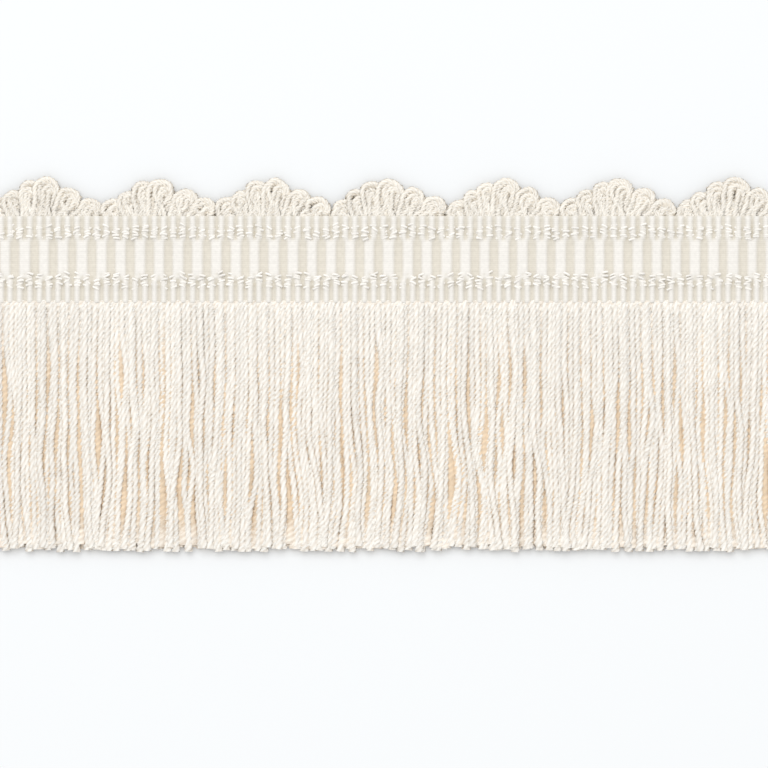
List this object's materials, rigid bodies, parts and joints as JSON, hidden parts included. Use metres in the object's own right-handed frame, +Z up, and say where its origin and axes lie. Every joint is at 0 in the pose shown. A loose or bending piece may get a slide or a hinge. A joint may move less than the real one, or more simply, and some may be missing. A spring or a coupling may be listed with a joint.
{
  "type": "cut fringe trim",
  "caption": "Flat length of cream cut fringe trim: a woven heading with a satin rib middle, a scalloped loop edge above it and a skirt of twisted cut yarns below.",
  "frame": {"origin": "middle of the underside of the trim's box, on the surface that it lies on", "axes": "+X along the trim's length, +Y from the cut ends of the skirt towards the scalloped edge, +Z up from the surface"},
  "size_m": [0.1386, 0.0642, 0.002],
  "materials": {
    "heading_weave": "cream woven heading with satin ribs",
    "loop_yarn": "cream twisted yarn loops, soft sheen",
    "skirt_yarn": "cream twisted yarn, soft sheen"
  },
  "bodies": {
    "root": {"heading": "heading_weave", "scallop_edge": "loop_yarn", "fringe": "skirt_yarn"}
  },
  "joints": []
}
